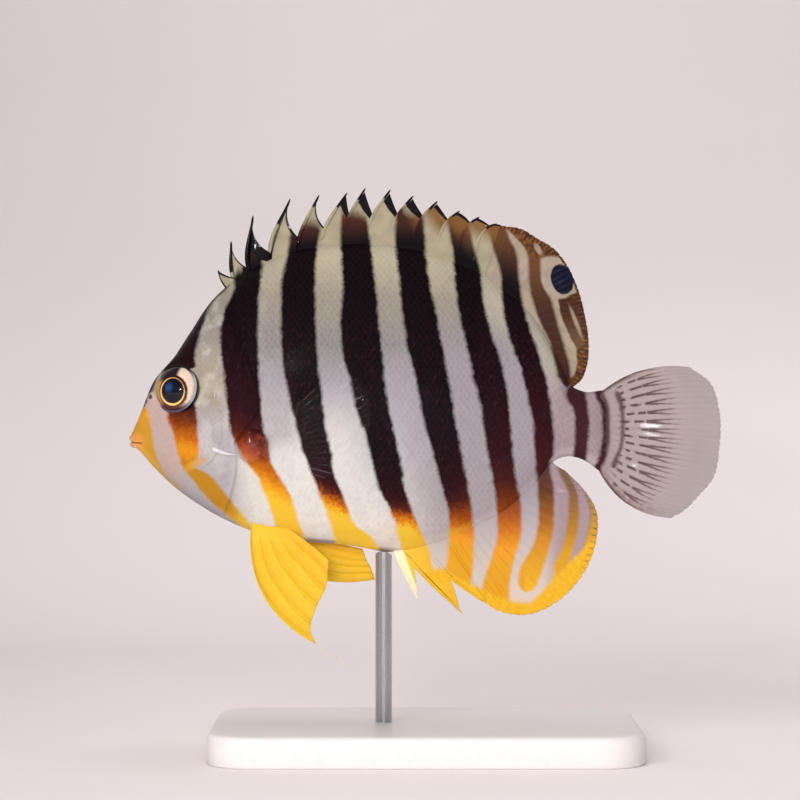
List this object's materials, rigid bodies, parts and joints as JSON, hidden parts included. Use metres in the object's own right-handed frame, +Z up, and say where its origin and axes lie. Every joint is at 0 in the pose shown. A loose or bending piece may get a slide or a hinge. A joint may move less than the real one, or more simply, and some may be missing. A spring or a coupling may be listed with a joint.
{
  "type": "multibarred angelfish model",
  "caption": "Still life-size multibarred angelfish, deep flat body with dark curved bars, spiny dorsal fin and yellow lower fins, on a plain base and rod.",
  "frame": {"origin": "centre of the underside of the display base, on the floor under the middle of the whole model", "axes": "the head faces -X and the tail +X, the left flank looks along -Y, the back is up along +Z"},
  "size_m": [0.0778, 0.034, 0.0743],
  "materials": {
    "barred_skin": "wet scaled skin, pinkish white with dark purplish brown bars that turn orange and yellow below",
    "eye": "glossy, blue-black pupil in a thin gold ring, dark red-brown iris",
    "dorsal_fin": "wet membrane, brown and cream bars with a dark margin and a blue-black eyespot",
    "anal_fin": "wet membrane, orange-yellow bars and margin on pinkish white",
    "clear_fin": "thin translucent membrane with rows of dark brown dashes on the tail",
    "yellow_fin": "wet yellow membrane",
    "stand_plate": "satin pale grey paint",
    "stand_steel": "brushed"
  },
  "bodies": {
    "root": {"head": "barred_skin", "torso": "barred_skin", "tail_stalk": "barred_skin", "eye_left": "eye", "eye_right": "eye", "fin_dorsal_spiny": "dorsal_fin", "fin_dorsal_soft": "dorsal_fin", "fin_anal": "anal_fin", "fin_caudal": "clear_fin", "fin_pectoral_left": "clear_fin", "fin_pectoral_right": "clear_fin", "fin_pelvic_left": "yellow_fin", "fin_pelvic_right": "yellow_fin", "stand_base": "stand_plate", "stand_rod": "stand_steel"}
  },
  "joints": []
}
